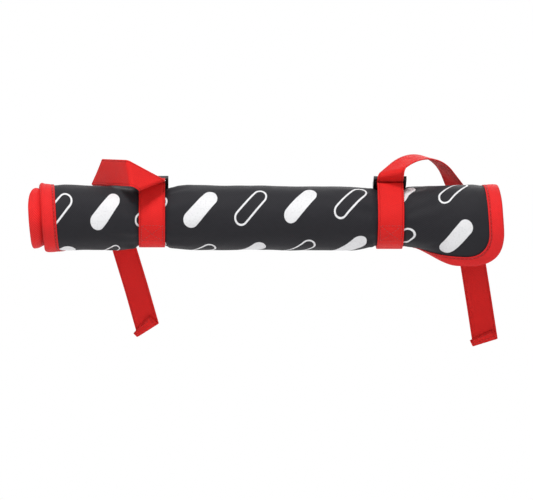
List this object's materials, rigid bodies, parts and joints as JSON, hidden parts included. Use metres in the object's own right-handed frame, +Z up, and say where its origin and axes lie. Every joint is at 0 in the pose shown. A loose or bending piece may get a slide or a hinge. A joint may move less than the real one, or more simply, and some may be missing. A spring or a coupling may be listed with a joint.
{
  "type": "bicycle frame protector",
  "caption": "Padded fabric panel with bound edges, rolled round a bicycle tube and held by two webbing straps with side-release buckles.",
  "frame": {"origin": "on the axis of the bicycle tube, halfway along the roll", "axes": "+X along the tube towards the handlebar, -Y the side seen in the picture, +Z up"},
  "size_m": [0.4002, 0.0866, 0.1629],
  "materials": {
    "pad_fabric": "woven nylon over thin foam, matt",
    "binding_tape": "ribbed polyester tape",
    "webbing": "flat woven polyester webbing",
    "buckle_plastic": "moulded acetal, satin"
  },
  "bodies": {
    "root": {"pad": "pad_fabric", "edge_binding": "binding_tape", "rear_strap": "webbing", "rear_buckle_socket": "buckle_plastic", "rear_buckle_plug": "buckle_plastic", "front_strap": "webbing", "front_buckle_socket": "buckle_plastic", "front_buckle_plug": "buckle_plastic"}
  },
  "joints": []
}
